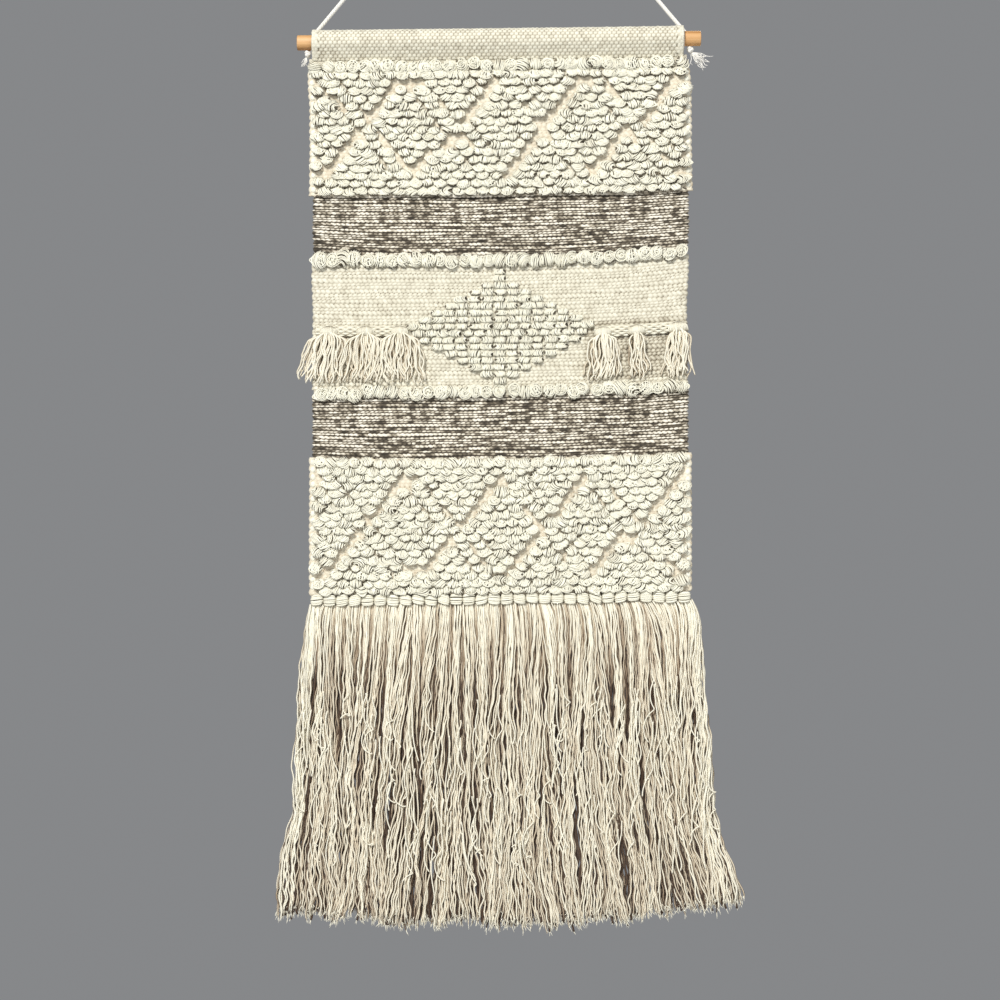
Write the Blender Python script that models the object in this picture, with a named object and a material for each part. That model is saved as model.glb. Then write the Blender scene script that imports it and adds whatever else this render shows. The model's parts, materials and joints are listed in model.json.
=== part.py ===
"""Tapestry wall hanging: a woven cotton panel with knotted pile, tassels and a fringe, on a wooden dowel and a cord.

Metres, +Z up. The origin is the point on the wall where a nail carries the hanging loop, and the front faces -Y.
Heights are written as drops below that point. The dowel hangs a little out of level, so every row climbs by TILT
towards the right: hung() gives a point its place in the tilted hanging.
"""

import math

import bmesh
import bpy
from mathutils import Matrix, Vector

# Driving dimensions.
TILT = 0.011
GAP = 0.0003

DOWEL_LENGTH = 0.404
DOWEL_RADIUS = 0.0075
DOWEL_CHAMFER = 0.0006
DOWEL_DROP = 0.239
DOWEL_Y = -0.0185

CORD_RADIUS = 0.0021
TURN_X = 0.1831
KNOT_X = 0.1915
KNOT_DROP = 0.2504
APEX_KNOT_DROP = 0.0125
APEX_KNOT_Y = -0.0075

CLOTH_THICKNESS = 0.0045
POCKET_WIDTH = 0.371
POCKET_THICKNESS = 0.0051
POCKET_BORE = DOWEL_RADIUS + GAP
POCKET_MOUTH_DEPTH = 0.005
POCKET_MOUTH_RADIUS = DOWEL_RADIUS + GAP + 2 * CORD_RADIUS + GAP
BAND_WIDTH = 0.373
CENTRE_WIDTH = 0.3735
PILE_WIDTH = 0.380
LOOP_ROW_WIDTH = 0.373

# Drops of the woven rows, from the pocket's seam to the ends of the fringe.
POCKET_SEAM = 0.256
UPPER_PILE_TOP = 0.269
UPPER_BAND_TOP = 0.3935
UPPER_LOOPS_TOP = 0.453
CENTRE_TOP = 0.466
LOWER_LOOPS_TOP = 0.584
LOWER_BAND_TOP = 0.597
LOWER_PILE_TOP = 0.658
KNOT_ROW_TOP = 0.792
FRINGE_TOP = 0.803
FRINGE_END = 1.129

PILE_DEPTH = 0.0078
PILE_EDGE = 0.0030
LATTICE_PITCH = 0.090
LATTICE_CHANNEL = 0.0042
LOOP_DEPTH = 0.0080
LOOPS_PER_ROW = 31
KNOTS_PER_ROW = 30
DIAMOND_HALF_WIDTH = 0.0935
DIAMOND_DEPTH = 0.0062

TASSEL_DROP = 0.529
TASSEL_HEAD_RADIUS = 0.0055
TASSEL_LENGTH = 0.050
TASSEL_THICKNESS = 0.0080
BAR_DEPTH = 0.0030
BAR_HEIGHT = 0.009

FRINGE_SECTIONS = 6
BUNDLES_PER_SECTION = 5
FRINGE_THICKNESS = 0.0090
FOLD_GAP = 0.0010
FOLD_CHAMFER = 0.0015

# Places worked out from the dimensions above.
CLOTH_BACK = DOWEL_Y + CLOTH_THICKNESS / 2
CLOTH_FRONT = DOWEL_Y - CLOTH_THICKNESS / 2
UPPER_FOLD = (UPPER_BAND_TOP + UPPER_LOOPS_TOP) / 2
LOWER_FOLD = (LOWER_BAND_TOP + LOWER_PILE_TOP) / 2
FRINGE_HINGE = FRINGE_TOP + GAP + FRINGE_THICKNESS / 2
TASSEL_Y = CLOTH_FRONT - GAP - BAR_DEPTH - GAP - TASSEL_HEAD_RADIUS

# The right-hand leg of the cord, from the knot at the apex down to the knot under the dowel: across, y, drop.
CORD_ROUTE = [
    (0.0067, -0.0075, 0.0161),
    (0.0300, -0.0074, 0.0437),
    (0.0600, -0.0072, 0.0792),
    (0.0900, -0.0070, 0.1147),
    (0.1200, -0.0067, 0.1502),
    (0.1500, -0.0063, 0.1857),
    (0.1700, -0.0060, 0.2094),
    (0.1800, -0.0058, 0.2212),
    (0.1857, -0.0058, 0.2280),
    (0.1890, -0.0062, 0.2325),
    (0.1908, -0.0072, 0.2362),
    (0.1915, -0.0084, 0.2400),
    (0.1915, -0.0097, 0.2437),
    (0.1915, -0.0122, 0.2468),
    (0.1915, -0.0148, 0.2482),
]

# Tassels: name, x of the head, half width of the head, half width at the tips, and how far the tips sweep sideways.
TASSELS = [
    ("tassel_left_outer", -0.171, 0.0065, 0.0180, -0.0120),
    ("tassel_left_middle", -0.134, 0.0065, 0.0155, -0.0040),
    ("tassel_left_inner", -0.100, 0.0065, 0.0190, 0.0000),
    ("tassel_right_inner", 0.103, 0.0065, 0.0140, 0.0020),
    ("tassel_right_middle", 0.137, 0.0065, 0.0090, 0.0010),
    ("tassel_right_outer", 0.178, 0.0080, 0.0120, 0.0000),
]


def hung(x, y, z):
    """The place of a point of the level hanging once the dowel is tilted."""
    return Vector((x, y, z + TILT * x))


def make_material(name, colour, roughness):
    material = bpy.data.materials.new(name)
    material.use_nodes = True
    shader = material.node_tree.nodes["Principled BSDF"]
    shader.inputs["Base Color"].default_value = (*colour, 1.0)
    shader.inputs["Roughness"].default_value = roughness
    shader.inputs["Metallic"].default_value = 0.0
    material.diffuse_color = (*colour, 1.0)
    return material


def clear_scene():
    for item in list(bpy.data.objects):
        bpy.data.objects.remove(item, do_unlink=True)


def add_pivot(name, drop, y, x=0.0, parent=None):
    """An empty on a joint's axis."""
    pivot = bpy.data.objects.new(name, None)
    pivot.empty_display_size = 0.02
    bpy.context.collection.objects.link(pivot)
    pivot.location = hung(x, y, -drop)
    if parent is not None:
        pivot.parent = parent
        pivot.location -= Vector(parent["world"])
    pivot["world"] = list(hung(x, y, -drop))
    return pivot


def add_object(name, data, material, pivot):
    data.materials.append(material)
    item = bpy.data.objects.new(name, data)
    bpy.context.collection.objects.link(item)
    if pivot is not None:
        item.parent = pivot
        item.matrix_parent_inverse = Matrix.Translation(-Vector(pivot["world"]))
    return item


def add_mesh(name, bm, material, pivot):
    bmesh.ops.recalc_face_normals(bm, faces=bm.faces)
    mesh = bpy.data.meshes.new(name)
    bm.to_mesh(mesh)
    bm.free()
    mesh.shade_smooth()
    mesh.set_sharp_from_angle(angle=math.radians(35))
    return add_object(name, mesh, material, pivot)


def add_loft(name, rings, material, pivot=None, closed=False):
    """One solid through rings of level points, capped at both ends unless its rings close on themselves."""
    bm = bmesh.new()
    loops = [[bm.verts.new(hung(*point)) for point in ring] for ring in rings]
    pairs = list(zip(loops, loops[1:]))
    if closed:
        pairs.append((loops[-1], loops[0]))
    else:
        bm.faces.new(loops[0])
        bm.faces.new(loops[-1])
    for near, far in pairs:
        for i in range(len(near)):
            j = (i + 1) % len(near)
            bm.faces.new((near[i], near[j], far[j], far[i]))
    return add_mesh(name, bm, material, pivot)


def add_ball(name, centre, radii, material, pivot=None):
    """An ellipsoid: centre is x, y, drop."""
    bm = bmesh.new()
    bmesh.ops.create_uvsphere(bm, u_segments=14, v_segments=8, radius=1.0)
    for vert in bm.verts:
        x, y, z = (radius * c for radius, c in zip(radii, vert.co))
        vert.co = hung(centre[0] + x, centre[1] + y, z - centre[2])
    return add_mesh(name, bm, material, pivot)


def smooth_route(points, spacing):
    """Points about spacing apart along the smooth curve through the given ones."""
    points = [Vector(p) for p in points]
    ends = [2 * points[0] - points[1], *points, 2 * points[-1] - points[-2]]
    route = []
    for before, a, b, after in zip(ends, ends[1:], ends[2:], ends[3:]):
        steps = max(1, round((b - a).length / spacing))
        for step in range(steps):
            t = step / steps
            route.append(
                0.5 * (2 * a + t * (b - before) + t * t * (2 * before - 5 * a + 4 * b - after)
                       + t ** 3 * (3 * a - before - 3 * b + after))
            )
    return [*route, points[-1]]


def add_cord(name, points, radius, material, spacing=0.009):
    """A round cord with filled caps along a route of (x, y, drop)."""
    route = smooth_route([hung(x, y, -drop) for x, y, drop in points], spacing)
    curve = bpy.data.curves.new(name, "CURVE")
    curve.dimensions = "3D"
    curve.bevel_depth = radius
    curve.bevel_resolution = 2
    curve.render_resolution_u = 0
    curve.use_fill_caps = True
    spline = curve.splines.new("POLY")
    spline.points.add(len(route) - 1)
    for knot, place in zip(spline.points, route):
        knot.co = (*place, 1.0)
    return add_object(name, curve, material, None)


def add_slab(name, outline, back, front, material, pivot, edge=0.0):
    """A plate with the outline's (x, drop) points, its front edge rounded over by edge."""
    middle = sum((Vector(p) for p in outline), Vector((0, 0))) / len(outline)
    reach = min((Vector(p) - middle).length for p in outline)
    shrink = 1.0 - edge / reach
    rings = [[(x, back, -drop) for x, drop in outline]]
    if edge:
        rings.append([(x, front + edge, -drop) for x, drop in outline])
    inner = [middle + shrink * (Vector(p) - middle) for p in outline]
    rings.append([(x, front, -drop) for x, drop in inner])
    return add_loft(name, rings, material, pivot)


def rectangle(width, top, bottom):
    return [(-width / 2, top), (width / 2, top), (width / 2, bottom), (-width / 2, bottom)]


def circle(count, radius, centre=(0.0, 0.0), start=0.0):
    turns = (start + 2 * math.pi * i / count for i in range(count))
    return [(centre[0] + radius * math.cos(a), centre[1] + radius * math.sin(a)) for a in turns]


def make_dowel(wood):
    half = DOWEL_LENGTH / 2
    stations = [
        (-half, DOWEL_RADIUS - DOWEL_CHAMFER),
        (-half + DOWEL_CHAMFER, DOWEL_RADIUS),
        (half - DOWEL_CHAMFER, DOWEL_RADIUS),
        (half, DOWEL_RADIUS - DOWEL_CHAMFER),
    ]
    rings = [[(x, y, z) for y, z in circle(36, r, (DOWEL_Y, -DOWEL_DROP))] for x, r in stations]
    add_loft("dowel", rings, wood)


def make_cord_end(side, word, cotton):
    """One leg of the cord, its turn round the dowel inside the pocket's mouth, its knot and its frayed tail."""
    add_cord("hanging_cord_" + word, [(side * x, y, drop) for x, y, drop in CORD_ROUTE], CORD_RADIUS, cotton)
    middle = DOWEL_RADIUS + GAP + CORD_RADIUS
    rings = []
    for i in range(28):
        turn = 2 * math.pi * i / 28
        rings.append([
            (side * TURN_X + across, DOWEL_Y + out * math.cos(turn), out * math.sin(turn) - DOWEL_DROP)
            for across, out in circle(8, CORD_RADIUS, (0.0, middle), math.pi / 8)
        ])
    add_loft("cord_turn_" + word, rings, cotton, closed=True)
    add_ball("cord_knot_" + word, (side * KNOT_X, DOWEL_Y, KNOT_DROP), (0.0034, 0.0040, 0.0036), cotton)


def make_cord_tails(cotton):
    left = [(-0.1925, -0.0190, 0.2545), (-0.1938, -0.0193, 0.2575), (-0.1950, -0.0190, 0.2610)]
    add_cord("cord_tail_left", left, 0.0012, cotton, 0.004)
    right = [
        (0.1940, -0.0190, 0.2537), (0.1975, -0.0200, 0.2562), (0.2015, -0.0205, 0.2588), (0.2065, -0.0200, 0.2622),
    ]
    add_cord("cord_tail_right", right, 0.0018, cotton, 0.004)


def make_hanging_loop(cotton):
    """The eye over the nail, and the overhand knot that closes it and ends both legs."""
    centre_drop, half_width, half_height, cut = 0.0045, 0.0081, 0.0066, math.radians(42)
    points = []
    for i in range(15):
        turn = -cut + (math.pi + 2 * cut) * i / 14
        points.append((half_width * math.cos(turn), APEX_KNOT_Y, centre_drop - half_height * math.sin(turn)))
    add_cord("hanging_loop", points, CORD_RADIUS, cotton, 0.004)
    add_ball("hanging_loop_knot", (0.0, APEX_KNOT_Y, APEX_KNOT_DROP), (0.0065, 0.0055, 0.0050), cotton)


def pocket_outline(radius, seam):
    """The pocket's outside in (y, z) about the dowel's axis: a round top that runs down into a flat seam."""
    half = CLOTH_THICKNESS / 2
    reach = math.hypot(half, seam)
    lean = math.atan2(seam, half) - math.acos(radius / reach)
    count, steps = 26, 5
    outline = []
    for i in range(count + 1):
        turn = -lean + (math.pi + 2 * lean) * i / count
        outline.append((radius * math.cos(turn), radius * math.sin(turn)))
    (back_y, back_z), (front_y, front_z) = outline[0], outline[-1]
    for i in range(1, steps + 1):
        share = i / steps
        outline.append((front_y + share * (-half - front_y), front_z + share * (-seam - front_z)))
    for i in range(steps):
        share = i / steps
        outline.append((half + share * (back_y - half), -seam + share * (back_z + seam)))
    return outline


def make_rod_pocket(cotton, pivot):
    """The weave folded round the dowel, with a wider mouth at each end for the cord's turn."""
    half, outer = POCKET_WIDTH / 2, POCKET_BORE + POCKET_THICKNESS
    mouth = half - POCKET_MOUTH_DEPTH
    seam = POCKET_SEAM - DOWEL_DROP - GAP
    flare = POCKET_MOUTH_RADIUS + 0.0011

    def outside(x, radius):
        return [(x, DOWEL_Y + y, z - DOWEL_DROP) for y, z in pocket_outline(radius, seam)]

    def inside(x, radius):
        ring = []
        for y, z in pocket_outline(outer, seam):
            turn = math.atan2(z, y)
            ring.append((x, DOWEL_Y + radius * math.cos(turn), radius * math.sin(turn) - DOWEL_DROP))
        return ring

    rings = [
        outside(-half, flare), outside(-mouth + 0.006, outer), outside(mouth - 0.006, outer), outside(half, flare),
        inside(half, POCKET_MOUTH_RADIUS), inside(mouth, POCKET_MOUTH_RADIUS), inside(mouth - 0.001, POCKET_BORE),
        inside(-mouth + 0.001, POCKET_BORE), inside(-mouth, POCKET_MOUTH_RADIUS), inside(-half, POCKET_MOUTH_RADIUS),
    ]
    add_loft("rod_pocket", rings, cotton, pivot, closed=True)


def make_bumpy_row(name, width, top, bottom, count, back, depth, cotton, pivot):
    """A row of loops or knots side by side: a bar whose rounded front swells once for each of them."""
    top, bottom = top + GAP, bottom - GAP
    middle, half = (top + bottom) / 2, (bottom - top) / 2
    stations = 4 * count
    rings = []
    for i in range(stations + 1):
        x = -width / 2 + width * i / stations
        swell = 0.72 + 0.28 * abs(math.sin(math.pi * i / 4))
        ring = [(x, back, -middle - half), (x, back, -middle + half)]
        for j in range(5):
            turn = math.pi / 2 - math.pi * j / 4
            ring.append((x, CLOTH_FRONT - swell * depth * math.cos(turn), -middle + half * math.sin(turn)))
        rings.append(ring)
    add_loft(name, rings, cotton, pivot)


def make_cloth(name, width, top, bottom, material, pivot):
    add_slab(name, rectangle(width, top + GAP / 2, bottom - GAP / 2), CLOTH_BACK, CLOTH_FRONT, material, pivot)


def make_band_half(name, top, bottom, fold, material, pivot):
    """Half of a streaky band, its edge at the fold cut back in front so that it can fold forward."""
    side = 1 if fold > (top + bottom) / 2 else -1
    far, crease = (top + GAP / 2, fold - FOLD_GAP / 2) if side > 0 else (bottom - GAP / 2, fold + FOLD_GAP / 2)
    half = BAND_WIDTH / 2
    rings = []
    for x in (-half, half):
        rings.append([
            (x, CLOTH_BACK, -far), (x, CLOTH_FRONT, -far), (x, CLOTH_FRONT, -crease + side * FOLD_CHAMFER),
            (x, DOWEL_Y, -crease), (x, CLOTH_BACK, -crease),
        ])
    add_loft(name, rings, material, pivot)


def make_zigzag(name, edge_drop, nodes_drop, cotton, pivot):
    """The row of four pile triangles against one edge of a pile panel, joined by its first row of tufts."""
    direction = 1 if nodes_drop > edge_drop else -1
    start, tip = edge_drop + direction * GAP, nodes_drop - direction * LATTICE_CHANNEL
    rib = start + direction * 0.004
    half = LATTICE_PITCH / 2
    outline = [(-2 * LATTICE_PITCH + 0.006, start), (2 * LATTICE_PITCH - 0.006, start)]
    for centre in (1.5 * LATTICE_PITCH, 0.5 * LATTICE_PITCH, -0.5 * LATTICE_PITCH, -1.5 * LATTICE_PITCH):
        outline += [(centre + half - 0.006, rib), (centre, tip), (centre - half + 0.006, rib)]
    back, front = CLOTH_FRONT - GAP, CLOTH_FRONT - GAP - PILE_DEPTH
    rings = [[(x, y, -drop) for x, drop in outline] for y in (back, front)]
    add_loft(name, rings, cotton, pivot)


def make_pile_panel(word, top, bottom, cotton, pivot):
    """The ground weave and the blocks of knotted pile that its diamond lattice of bare channels leaves between them."""
    make_cloth(word + "_pile_ground", PILE_WIDTH, top, bottom, cotton, pivot)
    middle, half_width = (top + bottom) / 2, LATTICE_PITCH / 2
    half_height = (bottom - top) / 2 - 0.006
    back, front = CLOTH_FRONT - GAP, CLOTH_FRONT - GAP - PILE_DEPTH
    wide, tall = half_width - LATTICE_CHANNEL, half_height - LATTICE_CHANNEL
    for centre, place in ((-LATTICE_PITCH, "left"), (0.0, "centre"), (LATTICE_PITCH, "right")):
        outline = [(centre - wide, middle), (centre, middle - tall), (centre + wide, middle), (centre, middle + tall)]
        add_slab(word + "_pile_diamond_" + place, outline, back, front, cotton, pivot, PILE_EDGE)
    for side, place in ((-1, "left"), (1, "right")):
        tip, edge = side * (1.5 * LATTICE_PITCH + LATTICE_CHANNEL), side * PILE_WIDTH / 2
        shoulder = side * (2 * LATTICE_PITCH - 0.001)
        outline = [
            (tip, middle), (shoulder, middle - tall), (edge, middle - tall), (edge, middle + tall),
            (shoulder, middle + tall),
        ]
        add_slab(word + "_pile_side_" + place, outline, back, front, cotton, pivot, PILE_EDGE)
    make_zigzag(word + "_pile_top_row", top, middle - 0.004, cotton, pivot)
    make_zigzag(word + "_pile_bottom_row", bottom, middle + 0.004, cotton, pivot)


def make_centre_panel(cotton, pivot):
    make_cloth("centre_panel", CENTRE_WIDTH, CENTRE_TOP, LOWER_LOOPS_TOP, cotton, pivot)
    middle, tall = (CENTRE_TOP + LOWER_LOOPS_TOP) / 2, (LOWER_LOOPS_TOP - CENTRE_TOP) / 2 - 0.001
    outline = [(-DIAMOND_HALF_WIDTH, middle), (0.0, middle - tall), (DIAMOND_HALF_WIDTH, middle), (0.0, middle + tall)]
    back = CLOTH_FRONT - GAP
    add_slab("centre_diamond_pile", outline, back, back - DIAMOND_DEPTH, cotton, pivot, PILE_EDGE)
    for name, x0, x1 in (("float_bar_left", -0.184, -0.0945), ("float_bar_right", 0.0945, 0.184)):
        outline = [
            (x0, TASSEL_DROP - BAR_HEIGHT / 2), (x1, TASSEL_DROP - BAR_HEIGHT / 2),
            (x1, TASSEL_DROP + BAR_HEIGHT / 2), (x0, TASSEL_DROP + BAR_HEIGHT / 2),
        ]
        add_slab(name, outline, back, back - BAR_DEPTH, cotton, pivot)


def make_tassel(name, x, head, tips, sweep, cotton, pivot):
    """A wrapped head on the float bar and a skirt of strands that hangs from it."""
    radius = TASSEL_HEAD_RADIUS
    add_ball(name + "_head", (x, TASSEL_Y, TASSEL_DROP), (head, radius, radius), cotton, pivot)
    rings = []
    for share, spread in ((0.0, 0.0), (0.12, 0.25), (0.5, 0.7), (1.0, 1.0)):
        drop = TASSEL_DROP + radius + GAP + share * (TASSEL_LENGTH - radius)
        wide = 0.8 * head + spread * (tips - 0.8 * head)
        thick = TASSEL_THICKNESS / 2 * (0.7 if share == 0.0 else 1.0)
        centre = x + sweep * share ** 1.4
        rings.append([
            (centre + wide * math.cos(turn), TASSEL_Y - 0.0004 + thick * math.sin(turn), -drop)
            for turn in (2 * math.pi * i / 12 for i in range(12))
        ])
    add_loft(name + "_skirt", rings, cotton, pivot)


def fringe_edge(share, side):
    """x of the fringe's left or right edge, share of the way down: the right side fans out further."""
    half = PILE_WIDTH / 2 + 0.001
    if side < 0:
        return -half - 0.029 * share ** 1.1
    return half + 0.046 * share ** 1.5


def make_fringe(cotton, pivot):
    """The fringe in sections of five bundles, each section a curtain with a swell for each bundle."""
    bumps = BUNDLES_PER_SECTION
    half = FRINGE_THICKNESS / 2
    length = FRINGE_END - FRINGE_HINGE
    for index in range(FRINGE_SECTIONS):
        rings = []
        # The round top turns about the hinge: each level is a height above it, or a share of the length below.
        levels = [(-0.9 * half, 0.44), (-0.5 * half, 0.87), (0.0, 1.0)]
        levels += [(share * length, 1.0) for share in (0.25, 0.6)] + [(length, 0.7)]
        for below, thickness in levels:
            share = max(below, 0.0) / length
            left, right = fringe_edge(share, -1), fringe_edge(share, 1)
            width = (right - left) / FRINGE_SECTIONS
            start, end = left + index * width + GAP, left + (index + 1) * width - GAP
            front, back = [], []
            for i in range(4 * bumps + 1):
                x = start + (end - start) * i / (4 * bumps)
                swell = half * thickness * (0.6 + 0.4 * abs(math.sin(math.pi * i / 4)))
                front.append((x, DOWEL_Y - swell, -FRINGE_HINGE - below))
                if i % 2 == 0:
                    back.append((x, DOWEL_Y + swell, -FRINGE_HINGE - below))
            rings.append(front + back[::-1])
        add_loft("fringe_section_%d" % (index + 1), rings, cotton, pivot)


def main():
    clear_scene()
    wood = make_material("light_pine", (0.72, 0.47, 0.22), 0.5)
    cord_cotton = make_material("cord_cotton", (0.80, 0.77, 0.70), 0.85)
    cream = make_material("cream_cotton", (0.78, 0.73, 0.60), 0.9)
    melange = make_material("melange_yarn", (0.36, 0.32, 0.26), 0.9)

    swing = add_pivot("tapestry_swing_pivot", DOWEL_DROP, DOWEL_Y)
    upper_fold = add_pivot("upper_fold_pivot", UPPER_FOLD, DOWEL_Y, parent=swing)
    lower_fold = add_pivot("lower_fold_pivot", LOWER_FOLD, DOWEL_Y, parent=upper_fold)
    fringe_swing = add_pivot("fringe_swing_pivot", FRINGE_HINGE, DOWEL_Y, parent=lower_fold)

    make_dowel(wood)
    make_hanging_loop(cord_cotton)
    for side, word in ((-1, "left"), (1, "right")):
        make_cord_end(side, word, cord_cotton)
    make_cord_tails(cord_cotton)

    make_rod_pocket(cream, swing)
    make_bumpy_row("top_loop_row", LOOP_ROW_WIDTH, POCKET_SEAM, UPPER_PILE_TOP, LOOPS_PER_ROW,
                   CLOTH_BACK, LOOP_DEPTH, cream, swing)
    make_pile_panel("upper", UPPER_PILE_TOP, UPPER_BAND_TOP, cream, swing)
    make_band_half("upper_band_above_fold", UPPER_BAND_TOP, UPPER_FOLD, UPPER_FOLD, melange, swing)

    make_band_half("upper_band_below_fold", UPPER_FOLD, UPPER_LOOPS_TOP, UPPER_FOLD, melange, upper_fold)
    make_bumpy_row("upper_loop_row", LOOP_ROW_WIDTH, UPPER_LOOPS_TOP, CENTRE_TOP, LOOPS_PER_ROW,
                   CLOTH_BACK, LOOP_DEPTH, cream, upper_fold)
    make_centre_panel(cream, upper_fold)
    for name, x, head, tips, sweep in TASSELS:
        pivot = add_pivot(name + "_pivot", TASSEL_DROP, TASSEL_Y, x, upper_fold)
        make_tassel(name, x, head, tips, sweep, cream, pivot)
    make_bumpy_row("lower_loop_row", LOOP_ROW_WIDTH, LOWER_LOOPS_TOP, LOWER_BAND_TOP, LOOPS_PER_ROW,
                   CLOTH_BACK, LOOP_DEPTH, cream, upper_fold)
    make_band_half("lower_band_above_fold", LOWER_BAND_TOP, LOWER_FOLD, LOWER_FOLD, melange, upper_fold)

    make_band_half("lower_band_below_fold", LOWER_FOLD, LOWER_PILE_TOP, LOWER_FOLD, melange, lower_fold)
    make_pile_panel("lower", LOWER_PILE_TOP, KNOT_ROW_TOP, cream, lower_fold)
    make_bumpy_row("fringe_knot_row", PILE_WIDTH, KNOT_ROW_TOP, FRINGE_TOP, KNOTS_PER_ROW,
                   CLOTH_BACK, LOOP_DEPTH * 0.5, cream, lower_fold)
    make_fringe(cream, fringe_swing)


main()
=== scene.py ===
"""Looks of the tapestry wall hanging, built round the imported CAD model.

Metres, in the frame's own axes: the origin is where the nail meets the wall, +Z is up and the front faces -Y.
Places are given as (x, y, drop) on the level hanging, where drop is the height below the nail. hang() turns
them into the frame: it tilts them with the dowel and adds the cloth's own sag, drift and waves.
"""

import json
import math
import zlib

import bpy
import numpy as np
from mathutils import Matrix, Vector


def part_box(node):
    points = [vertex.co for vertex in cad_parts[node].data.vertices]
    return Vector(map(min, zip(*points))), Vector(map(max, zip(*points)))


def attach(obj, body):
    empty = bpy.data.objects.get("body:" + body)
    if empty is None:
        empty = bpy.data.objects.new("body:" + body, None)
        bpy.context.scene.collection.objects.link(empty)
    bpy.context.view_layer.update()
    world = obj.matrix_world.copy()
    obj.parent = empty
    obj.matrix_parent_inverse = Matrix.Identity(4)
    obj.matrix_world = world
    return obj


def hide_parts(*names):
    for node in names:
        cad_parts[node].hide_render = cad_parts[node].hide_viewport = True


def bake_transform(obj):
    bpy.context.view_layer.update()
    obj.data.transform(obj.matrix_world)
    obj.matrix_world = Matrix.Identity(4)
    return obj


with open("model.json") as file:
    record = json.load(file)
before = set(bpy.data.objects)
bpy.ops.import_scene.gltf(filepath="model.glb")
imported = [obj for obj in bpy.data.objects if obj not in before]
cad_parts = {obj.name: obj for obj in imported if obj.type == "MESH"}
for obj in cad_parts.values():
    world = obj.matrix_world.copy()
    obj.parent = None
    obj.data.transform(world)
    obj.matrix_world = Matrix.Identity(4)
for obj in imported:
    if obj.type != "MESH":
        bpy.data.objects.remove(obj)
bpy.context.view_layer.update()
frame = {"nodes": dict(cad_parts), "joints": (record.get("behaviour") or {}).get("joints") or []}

# ---- sizes from the frame

swing_axis = next(j for j in frame["joints"] if j["name"] == "tapestry_swing")["axis"]
TILT = swing_axis[2] / swing_axis[0]


def drops(node):
    """How far the top and the bottom of a level row's node hang below the nail."""
    low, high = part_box(node)
    return TILT * high.x - high.z, TILT * low.x - low.z


def half_width(node):
    low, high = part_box(node)
    return (high.x - low.x) / 2


dowel_low, dowel_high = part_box("dowel")
DOWEL_Y = (dowel_low.y + dowel_high.y) / 2
DOWEL_DROP = -(dowel_low.z + dowel_high.z) / 2
DOWEL_RADIUS = (dowel_high.y - dowel_low.y) / 2

CLOTH_FRONT, CLOTH_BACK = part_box("centre_panel")[0].y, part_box("centre_panel")[1].y
POCKET_SEAM, UPPER_PILE_TOP = drops("top_loop_row")
UPPER_BAND_TOP, UPPER_FOLD = drops("upper_band_above_fold")
UPPER_LOOPS_TOP, CENTRE_TOP = drops("upper_loop_row")
LOWER_LOOPS_TOP, LOWER_BAND_TOP = drops("lower_loop_row")
LOWER_FOLD, LOWER_PILE_TOP = drops("lower_band_below_fold")
KNOTS_TOP, FRINGE_TOP = drops("fringe_knot_row")
FRINGE_END = drops("fringe_section_3")[1]
HALF_PILE = half_width("upper_pile_ground")
HALF_BAND = half_width("upper_band_above_fold")
HALF_CENTRE = half_width("centre_panel")

# ---- how the cloth hangs

# Down the hanging: the drop, how far the left and the right edge ride up, and the cloth's sideways drift.
HANGING = np.array([
    (0.255, 0.0000, 0.0005, -0.0012),
    (0.300, 0.0005, 0.0015, 0.0015),
    (0.393, 0.0020, 0.0030, 0.0018),
    (0.450, 0.0050, 0.0080, 0.0018),
    (0.466, 0.0020, 0.0085, 0.0012),
    (0.525, 0.0010, 0.0070, 0.0008),
    (0.584, 0.0010, 0.0030, 0.0010),
    (0.597, 0.0005, 0.0050, 0.0015),
    (0.660, 0.0030, 0.0040, 0.0015),
    (0.800, 0.0000, 0.0010, 0.0015),
    (1.130, 0.0000, 0.0000, 0.0015),
])
# How hard the rise is drawn into the edges.
EDGE_POWER = 2.4
WAVE_DEPTH, WAVE_LENGTH = 0.0013, 0.23
# The dowel holds the cloth straight down to the first drop, and the waves are full at the second.
WAVES_START, WAVES_FULL = 0.262, 0.352


def hang(x, y, drop):
    """Points in the frame, as an array, for places on the level hanging."""
    x, y, drop = np.broadcast_arrays(x, y, drop)
    left, right, drift = (np.interp(drop, HANGING[:, 0], HANGING[:, i]) for i in (1, 2, 3))
    rise = np.where(x < 0, left, right) * np.clip(np.abs(x) / HALF_PILE, 0, 1) ** EDGE_POWER
    loose = np.clip((drop - WAVES_START) / (WAVES_FULL - WAVES_START), 0, 1)
    wave = np.sin(2 * np.pi * x / WAVE_LENGTH + 1.0 + 5.0 * drop) * np.cos(3.0 * x + 9.0 * drop)
    return np.stack([x + drift, y + WAVE_DEPTH * loose * wave, TILT * x - drop + rise], axis=-1)


def dice_for(name):
    """A seeded source of random numbers for one piece."""
    return np.random.default_rng(zlib.crc32(name.encode()))


# ---- mesh building

# How far the foot of a dome or a wrap is sunk into the cloth.
ROOT = 0.0008


def skin(index):
    """Faces round rings of point numbers, (solid, ring, corner), and a flat cap on each end."""
    near, far = index[:, :-1], index[:, 1:]
    walls = np.stack([near, np.roll(near, -1, axis=2), np.roll(far, -1, axis=2), far], axis=-1)
    return [walls.reshape(-1, 4), np.concatenate([index[:, 0, ::-1], index[:, -1]])]


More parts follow.
